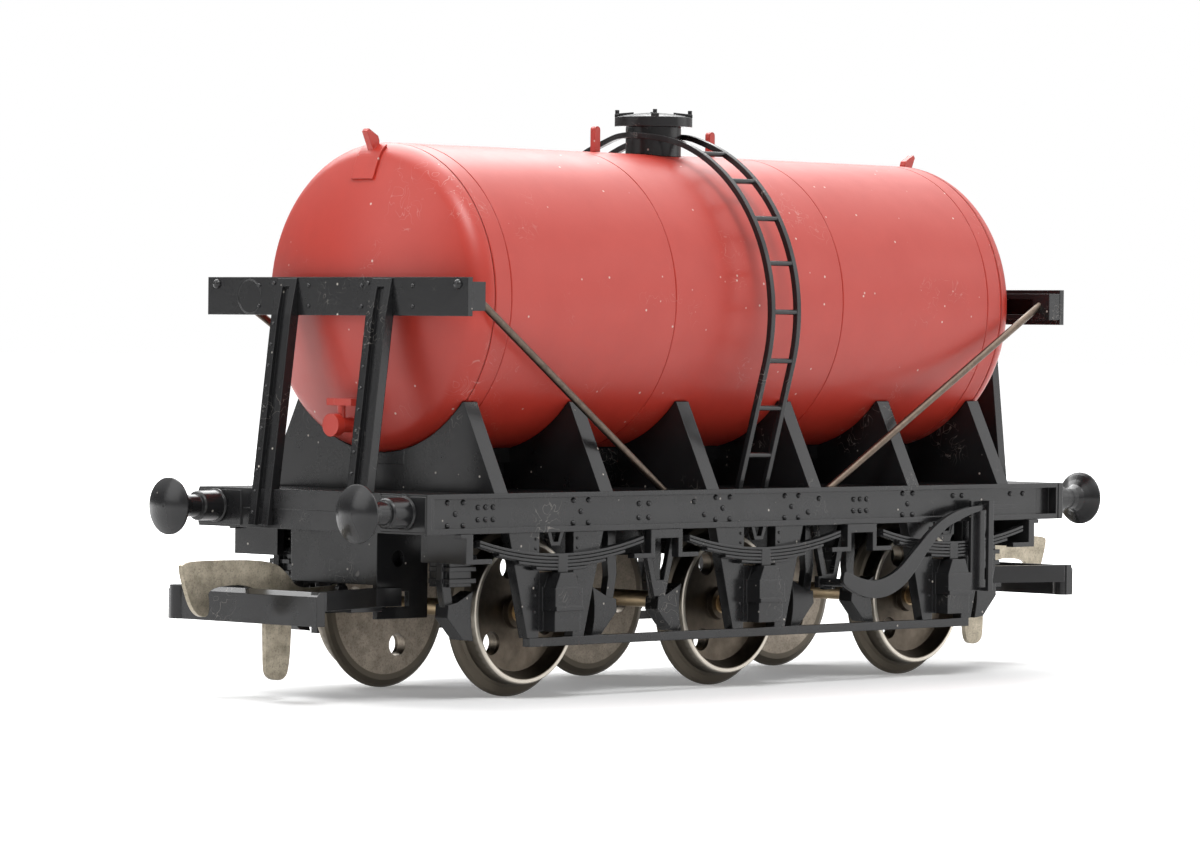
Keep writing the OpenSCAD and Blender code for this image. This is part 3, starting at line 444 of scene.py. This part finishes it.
@dataclass(frozen=True)
class TurnedWheel(WornMetal):
    """A turned wheel: outer web face painted dark as shade, pitted back painted pale as light,
    bright worn rim and warm axle.

    The zones are rings round the nearest axle, so one finish serves all three wheelsets.
    """

    axle_z: float = 7.35
    axle_radius: float = 0.9
    rim_y: float = 9.0
    rim_radius: float = 5.82
    rim_colour: str = "#C9C2B6"
    tread_radius: float = 6.19
    flange_colour: str = "#59534A"
    # Painted shade: past this depth the web's outer face takes the two darker colours below,
    # standing for the near wheels' faces in shade.
    painted_shade_y: float = 8.2
    painted_shade_colour: str = "#6A6156"
    painted_shade_dark: str = "#37312A"
    axle_colour: str = "#C9B391"
    axle_shade: str = "#9C8A70"

    def ring(
        self, tree: bpy.types.NodeTree, radius: bpy.types.NodeSocket, edge_mm: float,
        below: bpy.types.NodeSocket, above: str,
    ) -> bpy.types.NodeSocket:
        """Changes to another colour outside a radius.

        Args:
            tree: The material's tree.
            radius: The point's distance from the nearest axle, in metres.
            edge_mm: Where the colour changes.
            below: The colour inside.
            above: The colour outside, in hex.

        Returns:
            The joined colour.
        """
        blur = 0.04
        past = add_node(
            tree, "ShaderNodeMapRange", {"clamp": True},
            {"Value": radius, "From Min": (edge_mm - blur) * MM, "From Max": (edge_mm + blur) * MM},
        )
        return add_node(
            tree, "ShaderNodeMix", {"data_type": "RGBA"},
            {"Factor": past.outputs["Result"], "A": below, "B": linear(above)},
        ).outputs["Result"]

    def build(self) -> bpy.types.Material:
        """Builds the material.

        Returns:
            The new material.
        """
        material, shader = principled(self.name)
        tree = material.node_tree
        where = add_node(tree, "ShaderNodeTexCoord").outputs["Object"]
        half = (AXLE_X[1] - AXLE_X[0]) / 2 * MM
        nearest = add_node(
            tree, "ShaderNodeVectorMath", {"operation": "WRAP"},
            {0: where, 1: (half, 1.0, 1.0), 2: (-half, -1.0, -1.0)},
        )
        centred = add_node(
            tree, "ShaderNodeVectorMath", {"operation": "SUBTRACT"},
            {0: nearest.outputs[0], 1: (0.0, 0.0, self.axle_z * MM)},
        )
        flat = add_node(
            tree, "ShaderNodeVectorMath", {"operation": "MULTIPLY"},
            {0: centred.outputs[0], 1: (1.0, 0.0, 1.0)},
        )
        radius = add_node(
            tree, "ShaderNodeVectorMath", {"operation": "LENGTH"}, {0: flat.outputs[0]}
        ).outputs["Value"]
        split = add_node(tree, "ShaderNodeSeparateXYZ", {}, {"Vector": where})
        depth = add_node(tree, "ShaderNodeMath", {"operation": "ABSOLUTE"}, {0: split.outputs["Y"]})
        # Painted light: the back of the web keeps the finish's base colours, which are lightened to
        # stand for light on the far wheels.
        back, blotch = self.surface(tree, where)
        # Painted shade: the web's outer face is darkened, standing for the shade and dark
        # reflections on the near wheels.
        front = add_node(
            tree, "ShaderNodeMix", {"data_type": "RGBA"},
            {"Factor": blotch, "A": linear(self.painted_shade_colour), "B": linear(self.painted_shade_dark)},
        )
        in_painted_shade = add_node(
            tree, "ShaderNodeMath", {"operation": "GREATER_THAN"},
            {0: depth.outputs[0], 1: self.painted_shade_y * MM},
        )
        web = add_node(
            tree, "ShaderNodeMix", {"data_type": "RGBA"},
            {"Factor": in_painted_shade.outputs[0], "A": back, "B": front.outputs["Result"]},
        ).outputs["Result"]
        axle = add_node(
            tree, "ShaderNodeMix", {"data_type": "RGBA"},
            {"Factor": blotch, "A": linear(self.axle_colour), "B": linear(self.axle_shade)},
        ).outputs["Result"]
        hub = add_node(
            tree, "ShaderNodeMapRange", {"clamp": True},
            {"Value": radius, "From Min": (self.axle_radius - 0.05) * MM,
             "From Max": (self.axle_radius + 0.05) * MM},
        )
        inner = add_node(
            tree, "ShaderNodeMix", {"data_type": "RGBA"},
            {"Factor": hub.outputs["Result"], "A": axle, "B": web},
        ).outputs["Result"]
        rim = self.ring(tree, radius, self.rim_radius, inner, self.rim_colour)
        outer_face = add_node(
            tree, "ShaderNodeMath", {"operation": "GREATER_THAN"},
            {0: depth.outputs[0], 1: self.rim_y * MM},
        )
        faces = add_node(
            tree, "ShaderNodeMix", {"data_type": "RGBA"},
            {"Factor": outer_face.outputs[0], "A": inner, "B": rim},
        ).outputs["Result"]
        colour = self.ring(tree, radius, self.tread_radius, faces, self.flange_colour)
        self.finish(tree, shader, colour, blotch)
        return material


class Slot(Enum):
    """The finishes that the wagon's pieces take."""

    RED = "tank_paint"
    BLACK = "frame_plastic"
    WHEEL = "wheel_steel"
    HOOK = "hook_metal"
    ROD = "rod_metal"


FINISHES: dict[Slot, MouldedPlastic | WornMetal] = {
    # Matt red moulding: a broad soft highlight, with pale dust on it.
    Slot.RED: MouldedPlastic(
        "red_polystyrene", "#B93628", "#A82F24", 0.38, dust=0.75, edge_mm=0.1,
    ),
    # Black moulding straight from a polished mould: small sharp highlights on its edges.
    Slot.BLACK: MouldedPlastic(
        "black_polystyrene", "#242425", "#171718", 0.2, dust=0.7, edge_mm=0.1, specular=0.34,
    ),
    # Turned steel, worn bright where it runs. Painted light: its base colours are lightened for the
    # lit far wheels, and painted shade darkens the outer web faces.
    Slot.WHEEL: TurnedWheel("turned_nickel_steel", "#A89E90", "#564E45", 0.36),
    # Sheet metal with dull plating: cloudy grey with dark pits.
    Slot.HOOK: WornMetal("stamped_nickel_sheet", "#C2B8A5", "#3F3A2E", 0.36, 1.3, pitting=0.5),
    # Thin wire, blackened: brown where the black has worn thin.
    Slot.ROD: WornMetal("blackened_wire", "#74675C", "#3F3731", 0.36, 0.6),
}


# ---------------------------------------------------------------- rivets

@dataclass
class Rivets:
    """Round rivet heads set on a face, made by one Geometry Nodes tree.

    The tree puts a flattened ball on each point and turns it to the point's own facing.
    """

    name: str
    radius: float
    height: float
    finish: bpy.types.Material
    segments: int = 12
    rings: int = 7
    places: list[tuple[Vector, Vector]] = field(default_factory=list)

    def put(self, place: Vector, facing: Vector) -> None:
        """Adds a rivet, and the same one half round the wagon.

        Args:
            place: The middle of its foot, in millimetres.
            facing: The way that the face looks.
        """
        self.places.append((place, facing.normalized()))
        self.places.append((half_turn(place), half_turn(facing).normalized()))

    def tree(self) -> tuple[bpy.types.GeometryNodeTree, dict[str, str]]:
        """Builds the Geometry Nodes tree.

        Returns:
            The tree, and the identifier of each of its named inputs.
        """
        tree = bpy.data.node_groups.new(f"{self.name}_heads", "GeometryNodeTree")
        face = tree.interface
        face.new_socket("Geometry", in_out="INPUT", socket_type="NodeSocketGeometry")
        named = {
            label: face.new_socket(label, in_out="INPUT", socket_type=kind).identifier
            for label, kind in (
                ("Radius", "NodeSocketFloat"), ("Height", "NodeSocketFloat"),
                ("Finish", "NodeSocketMaterial"),
            )
        }
        face.new_socket("Geometry", in_out="OUTPUT", socket_type="NodeSocketGeometry")
        start = add_node(tree, "NodeGroupInput")
        ball = add_node(
            tree, "GeometryNodeMeshUVSphere", {},
            {"Segments": self.segments, "Rings": self.rings, "Radius": 1.0},
        )
        stretch = add_node(
            tree, "ShaderNodeCombineXYZ", {},
            {"X": start.outputs["Radius"], "Y": start.outputs["Radius"],
             "Z": start.outputs["Height"]},
        )
        head = add_node(
            tree, "GeometryNodeTransform", {},
            {"Geometry": ball.outputs["Mesh"], "Scale": stretch.outputs["Vector"]},
        )
        facing = add_node(
            tree, "GeometryNodeInputNamedAttribute", {"data_type": "FLOAT_VECTOR"},
            {"Name": "facing"},
        )
        turn = add_node(
            tree, "FunctionNodeAlignRotationToVector", {"axis": "Z"},
            {"Vector": facing.outputs["Attribute"]},
        )
        spread = add_node(
            tree, "GeometryNodeInstanceOnPoints", {},
            {"Points": start.outputs["Geometry"], "Instance": head.outputs["Geometry"],
             "Rotation": turn.outputs["Rotation"]},
        )
        solid = add_node(
            tree, "GeometryNodeRealizeInstances", {}, {"Geometry": spread.outputs["Instances"]}
        )
        smooth = add_node(
            tree, "GeometryNodeSetShadeSmooth", {}, {"Geometry": solid.outputs["Geometry"]}
        )
        dressed = add_node(
            tree, "GeometryNodeSetMaterial", {},
            {"Geometry": smooth.outputs["Geometry"], "Material": start.outputs["Finish"]},
        )
        add_node(tree, "NodeGroupOutput", {}, {"Geometry": dressed.outputs["Geometry"]})
        return tree, named

    def build(self) -> bpy.types.Object:
        """Makes one plain mesh of all the heads, riding on the wagon.

        Returns:
            The new piece.
        """
        seed = mesh_object(f"{self.name}_points", [p * MM for p, _ in self.places], [])
        facing = seed.data.attributes.new("facing", "FLOAT_VECTOR", "POINT")
        for item, (_, way) in zip(facing.data, self.places):
            item.vector = way
        tree, named = self.tree()
        spread = seed.modifiers.new("heads", "NODES")
        spread.node_group = tree
        spread[named["Radius"]] = self.radius * MM
        spread[named["Height"]] = self.height * MM
        spread[named["Finish"]] = self.finish
        graph = bpy.context.evaluated_depsgraph_get()
        mesh = bpy.data.meshes.new_from_object(seed.evaluated_get(graph))
        piece = bpy.data.objects.new(self.name, mesh)
        bpy.context.scene.collection.objects.link(piece)
        bpy.data.objects.remove(seed, do_unlink=True)
        for name in [a.name for a in mesh.attributes if a.name == "facing"]:
            mesh.attributes.remove(mesh.attributes[name])
        if not mesh.materials:
            mesh.materials.append(self.finish)
        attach(piece, FIXED_BODY)
        LOG.info("%s: %d heads", self.name, len(self.places))
        return piece


# ---------------------------------------------------------------- tank

@dataclass
class Tank:
    """The tank's smooth shells: a barrel with its seams and two dished ends."""

    finish: bpy.types.Material
    segments: int = 160
    crown_radius: float = 30.0
    skirt: float = 0.1
    seam_x: tuple[float, float] = (11.1, 31.6)
    seam_half: float = 0.08
    seam_depth: float = 0.09
    joint_depth: float = 0.16
    lip: float = 0.03
    knuckle_steps: int = 14
    crown_steps: int = 24

    def __post_init__(self) -> None:
        """Takes the tank's sizes from its CAD boxes."""
        low, high = box_mm("tank_barrel")
        self.radius = (high.z - low.z) / 2
        self.middle_z = (high.z + low.z) / 2
        self.half = high.x
        self.crown_x = box_mm("tank_end_front")[1].x
        deep = self.crown_x - self.half - self.skirt
        crown = self.crown_radius
        rise = 2 * crown * deep - deep ** 2 - self.radius ** 2
        self.knuckle = rise / (2 * (crown - self.radius))

    def axis(self, sign: float) -> Matrix:
        """Takes a profile whose height runs along the wagon to the row frame."""
        turn = Matrix.Rotation(math.radians(90 * sign), 4, "Y")
        return Matrix.Translation(Vector((0, 0, self.middle_z * MM))) @ turn

    def barrel(self) -> bpy.types.Object:
        """Makes the barrel, with a fine groove at each ring seam and a step at each joint.

        Returns:
            The new piece.
        """
        edge, groove, wide = self.radius, self.radius - self.seam_depth, self.seam_half
        upper: list[tuple[float, float]] = []
        for x in self.seam_x:
            upper += [(edge, x - wide), (groove, x - wide / 2),
                      (groove, x + wide / 2), (edge, x + wide)]
        upper += [(edge, self.half - 0.1), (edge - self.lip, self.half - self.lip),
                  (edge - self.joint_depth, self.half)]
        lower = [(r, -h) for r, h in reversed(upper)]
        profile = [(0.0, -self.half), *lower, *upper, (0.0, self.half)]
        return spin_profile("tank_barrel_shell", profile, self.segments, self.axis(1))

    def dish(self) -> list[tuple[float, float]]:
        """Gives a dished end's outline, from its joint to the middle of its crown.

        Returns:
            Points (radius, distance from the wagon's middle) in millimetres.
        """
        centre = self.crown_x - self.crown_radius
        kr = self.radius - self.knuckle
        kx = centre + math.sqrt((self.crown_radius - self.knuckle) ** 2 - kr ** 2)
        sweep = math.atan2(kr, kx - centre)
        outline = [(self.radius - self.joint_depth, self.half),
                   (self.radius - self.lip, self.half + 0.05),
                   (self.radius, self.half + 0.14)]
        steps = self.knuckle_steps
        outline += [
            (kr + self.knuckle * math.cos(a), kx + self.knuckle * math.sin(a))
            for a in (i / steps * (math.pi / 2 - sweep) for i in range(steps + 1))
        ]
        steps = self.crown_steps
        outline += [
            (self.crown_radius * math.sin(sweep * i / steps),
             centre + self.crown_radius * math.cos(sweep * i / steps))
            for i in range(steps - 1, 0, -1)
        ]
        return outline + [(0.0, self.crown_x)]

    def end(self, name: str, sign: float) -> bpy.types.Object:
        """Makes one dished end, closed at its joint."""
        return spin_profile(name, [(0.0, self.half)] + self.dish(), self.segments, self.axis(sign))

    def build(self) -> None:
        """Makes the shells and puts them in the CAD nodes' places."""
        shells = {
            "tank_barrel": self.barrel(),
            "tank_end_front": self.end("tank_end_front_shell", 1),
            "tank_end_rear": self.end("tank_end_rear_shell", -1),
        }
        for piece in shells.values():
            piece.data.materials.append(self.finish)
            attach(piece, FIXED_BODY)
            LOG.info("%s: %d faces", piece.name, len(piece.data.polygons))
        for node, piece in shells.items():
            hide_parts(node)


# ---------------------------------------------------------------- frame rivets

@dataclass
class FrameRivets:
    """Rivet heads on the sole bars, end beams, posts and axleguards.

    The fields give the places along a sole bar, in groups named for how many heads they have.
    """

    finish: bpy.types.Material
    web_depth: float = 0.47
    five_x: tuple[float, ...] = (-38.3, -23.1, -5.0, 4.15, 20.15)
    six_x: tuple[float, ...] = (-34.7, 13.5)
    four_x: float = -15.2
    odd: tuple[tuple[float, float], ...] = (
        (-8.75, 2.33), (-7.4, 1.16), (7.85, 2.36), (6.4, 1.16),
        (26.6, 2.36), (27.9, 2.36), (34.95, 2.43), (36.8, 2.43),
    )

    def sole_bars(self) -> None:
        """Sets the groups of rivets along both sole bars' webs."""
        low, _ = box_mm("sole_bar_right")
        web = low.y + self.web_depth
        places = list(self.odd)
        for x in self.five_x:
            lean = 0.7 if x == self.five_x[-1] else 0.93
            places += [(x + s * lean, z) for s in (-1, 1) for z in (0.72, 2.66)] + [(x, 1.7)]
        for x in self.six_x:
            places += [(x + s * 0.9, z) for s in (-1, 0, 1) for z in (1.18, 2.22)]
        places += [(self.four_x + s * 0.62, z) for s in (-1, 1) for z in (1.05, 2.25)]
        heads = Rivets("sole_bar_rivets", 0.25, 0.2, self.finish)
        for x, rise in places:
            heads.put(Vector((x, web, low.z + rise)), Vector((0, -1, 0)))
        heads.build()

    def beams(self) -> None:
        """Sets the rivets and the two round studs on each end beam's face."""
        low, high = box_mm("end_beam_rear")
        small = Rivets("end_beam_rivets", 0.2, 0.16, self.finish)
        away = Vector((-1, 0, 0))
        for y in (-9.4, -3.25, 3.25, 9.4):
            for z in (high.z - 0.72, low.z + 0.78):
                small.put(Vector((low.x, y, z)), away)
        for y in (-POST_Y, POST_Y):
            small.put(Vector((low.x, y + 1.75, high.z - 0.52)), away)
        small.build()
        studs = Rivets("end_beam_studs", 0.46, 0.34, self.finish)
        for y in (-14.75, 14.75):
            studs.put(Vector((low.x, y, high.z - 0.6)), away)
        studs.build()
        mark_y, mark_z = 10.6, 34.1
        for name, side, end in (("front", 1, box_mm("end_beam_front")[1]), ("rear", -1, low)):
            place = Vector((end.x, -side * mark_y, mark_z))
            self.moulding_mark(f"moulding_mark_{name}", place, side)

    def moulding_mark(self, name: str, place: Vector, side: int) -> None:
        """Makes the faint ring that a mould's ejector pin leaves on an end beam.

        Args:
            name: The piece's name.
            place: The ring's middle on the beam's face, in millimetres.
            side: 1 where the face looks along X, and -1 where it looks the other way.
        """
        radius, half_w, proud, sunk, segments = 1.45, 0.09, 0.05, 0.05, 48
        ring = [(radius - half_w, -sunk), (radius + half_w, -sunk), (radius + half_w, 0.0),
                (radius, proud), (radius - half_w, 0.0), (radius - half_w, -sunk)]
        turn = Matrix.Rotation(math.radians(90 * side), 4, "Y")
        piece = spin_profile(name, ring, segments, Matrix.Translation(place * MM) @ turn)
        piece.data.materials.append(self.finish)
        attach(piece, FIXED_BODY)

    def posts(self) -> None:
        """Sets rivets down the flanges of the posts."""
        low, _ = box_mm("end_posts_rear")
        foot, knee = Vector((low.x, 0, low.z)), Vector((-40.35, 0, 32.54))
        along = (knee - foot).normalized()
        away = Vector((-along.z, 0, along.x))
        heads = Rivets("post_rivets", 0.15, 0.12, self.finish)
        steps = 10
        for y in (-POST_Y, POST_Y):
            for i in range(steps):
                place = foot + (knee - foot) * ((i + 0.6) / steps)
                heads.put(Vector((place.x, y + 0.83, place.z)), away)
        heads.build()

    def guards(self) -> None:
        """Sets rivets down both legs of each axleguard."""
        low, _ = box_mm("axleguards_right")
        heads = Rivets("axleguard_rivets", 0.14, 0.11, self.finish)
        leg = 2.55
        for axle in AXLE_X:
            for x in (axle - leg, axle + leg):
                for rise in (2.2, 3.6, 5.0, 7.6, 8.4):
                    heads.put(Vector((x, low.y, low.z + rise)), Vector((0, -1, 0)))
        heads.build()

    def build(self) -> None:
        """Sets every group."""
        self.sole_bars()
        self.beams()
        self.posts()
        self.guards()


# ---------------------------------------------------------------- stage

@dataclass
class Studio:
    """White floor and surroundings, soft lamps and the camera.

    Places are in metres and angles in degrees. The level seen in reflections runs between the
    two values of mirrored, and is highest towards bright_way.
    """

    eye: tuple[float, float, float] = (-0.357593, -0.331754, 0.030749)
    yaw: float = 46.553
    pitch: float = -1.623
    roll: float = 0.612
    focal: float = 162.09
    shift: tuple[float, float] = (0.00544, 0.0486)
    glow: float = 0.22
    ambient: float = 0.18
    mirrored: tuple[float, float] = (0.14, 2.8)
    bright_way: tuple[float, float, float] = (0.1, -0.1, 0.99)
    bright_span: tuple[float, float] = (0.0, 0.95)
    shadow_reach: tuple[float, float] = (0.08, 0.3)

    def camera(self) -> None:
        """Puts the camera where it sees the wagon at a low three-quarter angle."""
        yaw, pitch, roll = (math.radians(a) for a in (self.yaw, self.pitch, self.roll))
        ahead = Vector((
            math.sin(yaw) * math.cos(pitch), math.cos(yaw) * math.cos(pitch), math.sin(pitch),
        ))
        right = Vector((math.cos(yaw), -math.sin(yaw), 0.0))
        up = right.cross(ahead)
        side = right * math.cos(roll) + up * math.sin(roll)
        top = up * math.cos(roll) - right * math.sin(roll)
        data = bpy.data.cameras.new("camera")
        data.lens = self.focal
        data.sensor_width = 36.0
        data.sensor_fit = "HORIZONTAL"
        data.shift_x, data.shift_y = self.shift
        data.clip_start = 0.01
        data.clip_end = 20.0
        camera = bpy.data.objects.new("camera", data)
        turn = Matrix((side, top, -ahead)).transposed().to_4x4()
        camera.matrix_world = Matrix.Translation(self.eye) @ turn
        bpy.context.scene.collection.objects.link(camera)
        bpy.context.scene.camera = camera

    def floor(self) -> None:
        """Lays a white floor that takes the wagon's soft shadow.

        Seen by the camera or in a reflection the card glows a little as well, more and more so
        away from the wagon, so that it is white wherever no shadow falls.
        """
        reach = 6.0
        piece = mesh_object(
            "floor",
            [Vector((-reach, -reach, 0)), Vector((reach, -reach, 0)),
             Vector((reach, reach, 0)), Vector((-reach, reach, 0))],
            [(0, 1, 2, 3)],
        )
        material, shader = principled("white_card")
        tree = material.node_tree
        shader.inputs["Base Color"].default_value = linear("#F2F2F2")
        shader.inputs["Roughness"].default_value = 0.9
        shader.inputs["Specular IOR Level"].default_value = 0.0
        rays = add_node(tree, "ShaderNodeLightPath")
        seen = add_node(
            tree, "ShaderNodeMath", {"operation": "MAXIMUM"},
            {0: rays.outputs["Is Camera Ray"], 1: rays.outputs["Is Glossy Ray"]},
        )
        where = add_node(tree, "ShaderNodeTexCoord").outputs["Object"]
        far = add_node(tree, "ShaderNodeVectorMath", {"operation": "LENGTH"}, {0: where})
        level = add_node(
            tree, "ShaderNodeMapRange", {"clamp": True, "interpolation_type": "SMOOTHSTEP"},
            {"Value": far.outputs["Value"],
             "From Min": self.shadow_reach[0], "From Max": self.shadow_reach[1],
             "To Min": self.glow, "To Max": 1.0},
        )
        glow = add_node(
            tree, "ShaderNodeMath", {"operation": "MULTIPLY"},
            {0: seen.outputs[0], 1: level.outputs["Result"]},
        )
        shader.inputs["Emission Color"].default_value = (1, 1, 1, 1)
        tree.links.new(glow.outputs[0], shader.inputs["Emission Strength"])
        piece.data.materials.append(material)

    def lamp(self, name: str, place: tuple[float, float, float], size: float, power: float) -> None:
        """Hangs one soft square lamp that looks at the wagon.

        Args:
            name: The lamp's name.
            place: Where it hangs, in metres.
            size: The length of its side, in metres.
            power: Its power in watts.
        """
        data = bpy.data.lights.new(name, "AREA")
        data.shape = "SQUARE"
        data.size = size
        data.energy = power
        lamp = bpy.data.objects.new(name, data)
        lamp.location = place
        aim = Vector((0, 0, 0.02)) - Vector(place)
        lamp.rotation_euler = aim.to_track_quat("-Z", "Y").to_euler()
        bpy.context.scene.collection.objects.link(lamp)

    def world(self) -> None:
        """Gives the surroundings an even white glow, which is mirrored brighter from above."""
        world = bpy.data.worlds.new("studio")
        bpy.context.scene.world = world
        world.use_nodes = True
        tree = world.node_tree
        back = tree.nodes["Background"]
        rays = add_node(tree, "ShaderNodeLightPath")
        way = add_node(tree, "ShaderNodeTexCoord").outputs["Generated"]
        along = add_node(
            tree, "ShaderNodeVectorMath", {"operation": "DOT_PRODUCT"}, {0: way, 1: self.bright_way}
        )
        room = add_node(
            tree, "ShaderNodeMapRange", {"clamp": True},
            {"Value": along.outputs["Value"],
             "From Min": self.bright_span[0], "From Max": self.bright_span[1],
             "To Min": self.mirrored[0], "To Max": self.mirrored[1]},
        )
        mirrored = add_node(
            tree, "ShaderNodeMapRange", {},
            {"Value": rays.outputs["Is Glossy Ray"], "To Min": self.ambient,
             "To Max": room.outputs["Result"]},
        )
        level = add_node(
            tree, "ShaderNodeMath", {"operation": "MAXIMUM"},
            {0: mirrored.outputs["Result"], 1: rays.outputs["Is Camera Ray"]},
        )
        back.inputs["Color"].default_value = (1, 1, 1, 1)
        tree.links.new(level.outputs[0], back.inputs["Strength"])

    def build(self) -> None:
        """Sets the whole stage."""
        self.camera()
        self.floor()
        self.world()
        self.lamp("key", (-0.35, -0.5, 0.85), size=0.35, power=6.2)
        self.lamp("sky", (0.2, 0.4, 0.65), size=0.8, power=9.5)
        self.lamp("end_light", (-0.75, 0.35, 0.35), size=0.5, power=1.7)
        self.lamp("fill", (0.7, -0.6, 0.15), size=0.6, power=1.3)
        bpy.context.scene.view_settings.view_transform = "Standard"


def dress_frame() -> dict[Slot, bpy.types.Material]:
    """Gives every CAD node the finish of its material slot.

    Returns:
        The material of each slot.
    """
    finishes = {slot: finish.build() for slot, finish in FINISHES.items()}
    for part in frame["record"]["subparts"]:
        node = frame["nodes"][part["node"]]
        node.data.materials.clear()
        node.data.materials.append(finishes[Slot(part["material_slot"])])
        LOG.info("%s: %s", part["node"], part["material_slot"])
    return finishes


def main() -> None:
    """Builds the wagon's looks in order."""
    logging.basicConfig(level=logging.INFO, format="%(name)s: %(message)s")
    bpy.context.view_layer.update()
    finishes = dress_frame()
    Tank(finishes[Slot.RED]).build()
    FrameRivets(finishes[Slot.BLACK]).build()
    Studio().build()


if __name__ == "__main__":
    main()
